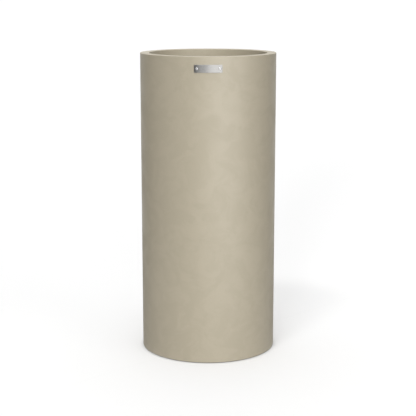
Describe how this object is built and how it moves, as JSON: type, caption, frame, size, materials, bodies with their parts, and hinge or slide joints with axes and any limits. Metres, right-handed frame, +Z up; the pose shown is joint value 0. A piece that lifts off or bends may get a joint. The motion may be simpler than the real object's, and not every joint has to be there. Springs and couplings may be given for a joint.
{
  "type": "floor planter",
  "caption": "Tall straight round floor planter with a flat inward rim, a hidden lip, a recessed floor with a bunged drain hole, foot pads and a small bare plate on the front.",
  "frame": {"origin": "on the floor, under the centre of the planter", "axes": "+Z up along the planter's axis, -Y towards the front, where the plate is, +X to the right when seen from the front"},
  "size_m": [0.4499, 0.4514, 1],
  "materials": {
    "stone_gelcoat": "satin stone-look gelcoat over fiberglass, warm grey beige with cloudy mottling",
    "laminate": "hand-laid fiberglass laminate, mat pattern showing through the resin",
    "bonding_paste": "cured polyester bonding paste",
    "rubber": "moulded black rubber",
    "plate_steel": "stainless steel brushed along its length",
    "rivet_aluminium": "bright drawn aluminium",
    "mandrel_steel": "plain drawn steel"
  },
  "bodies": {
    "planter": {"shell": "stone_gelcoat", "base_tray": "laminate", "bond_bead": "bonding_paste", "corner_tabbing": "laminate", "name_plate": "plate_steel", "plate_rivet_left": "rivet_aluminium", "plate_rivet_right": "rivet_aluminium", "rivet_mandrel_left": "mandrel_steel", "rivet_mandrel_right": "mandrel_steel", "foot_pad_1": "rubber", "foot_pad_2": "rubber", "foot_pad_3": "rubber", "foot_pad_4": "rubber"},
    "drain_bung": {"drain_bung": "rubber"}
  },
  "joints": [
    {"name": "drain_bung_lift", "type": "slide", "parent": "planter", "child": "drain_bung", "axis": [0, 0, 1], "range_m": [0, 1]}
  ]
}
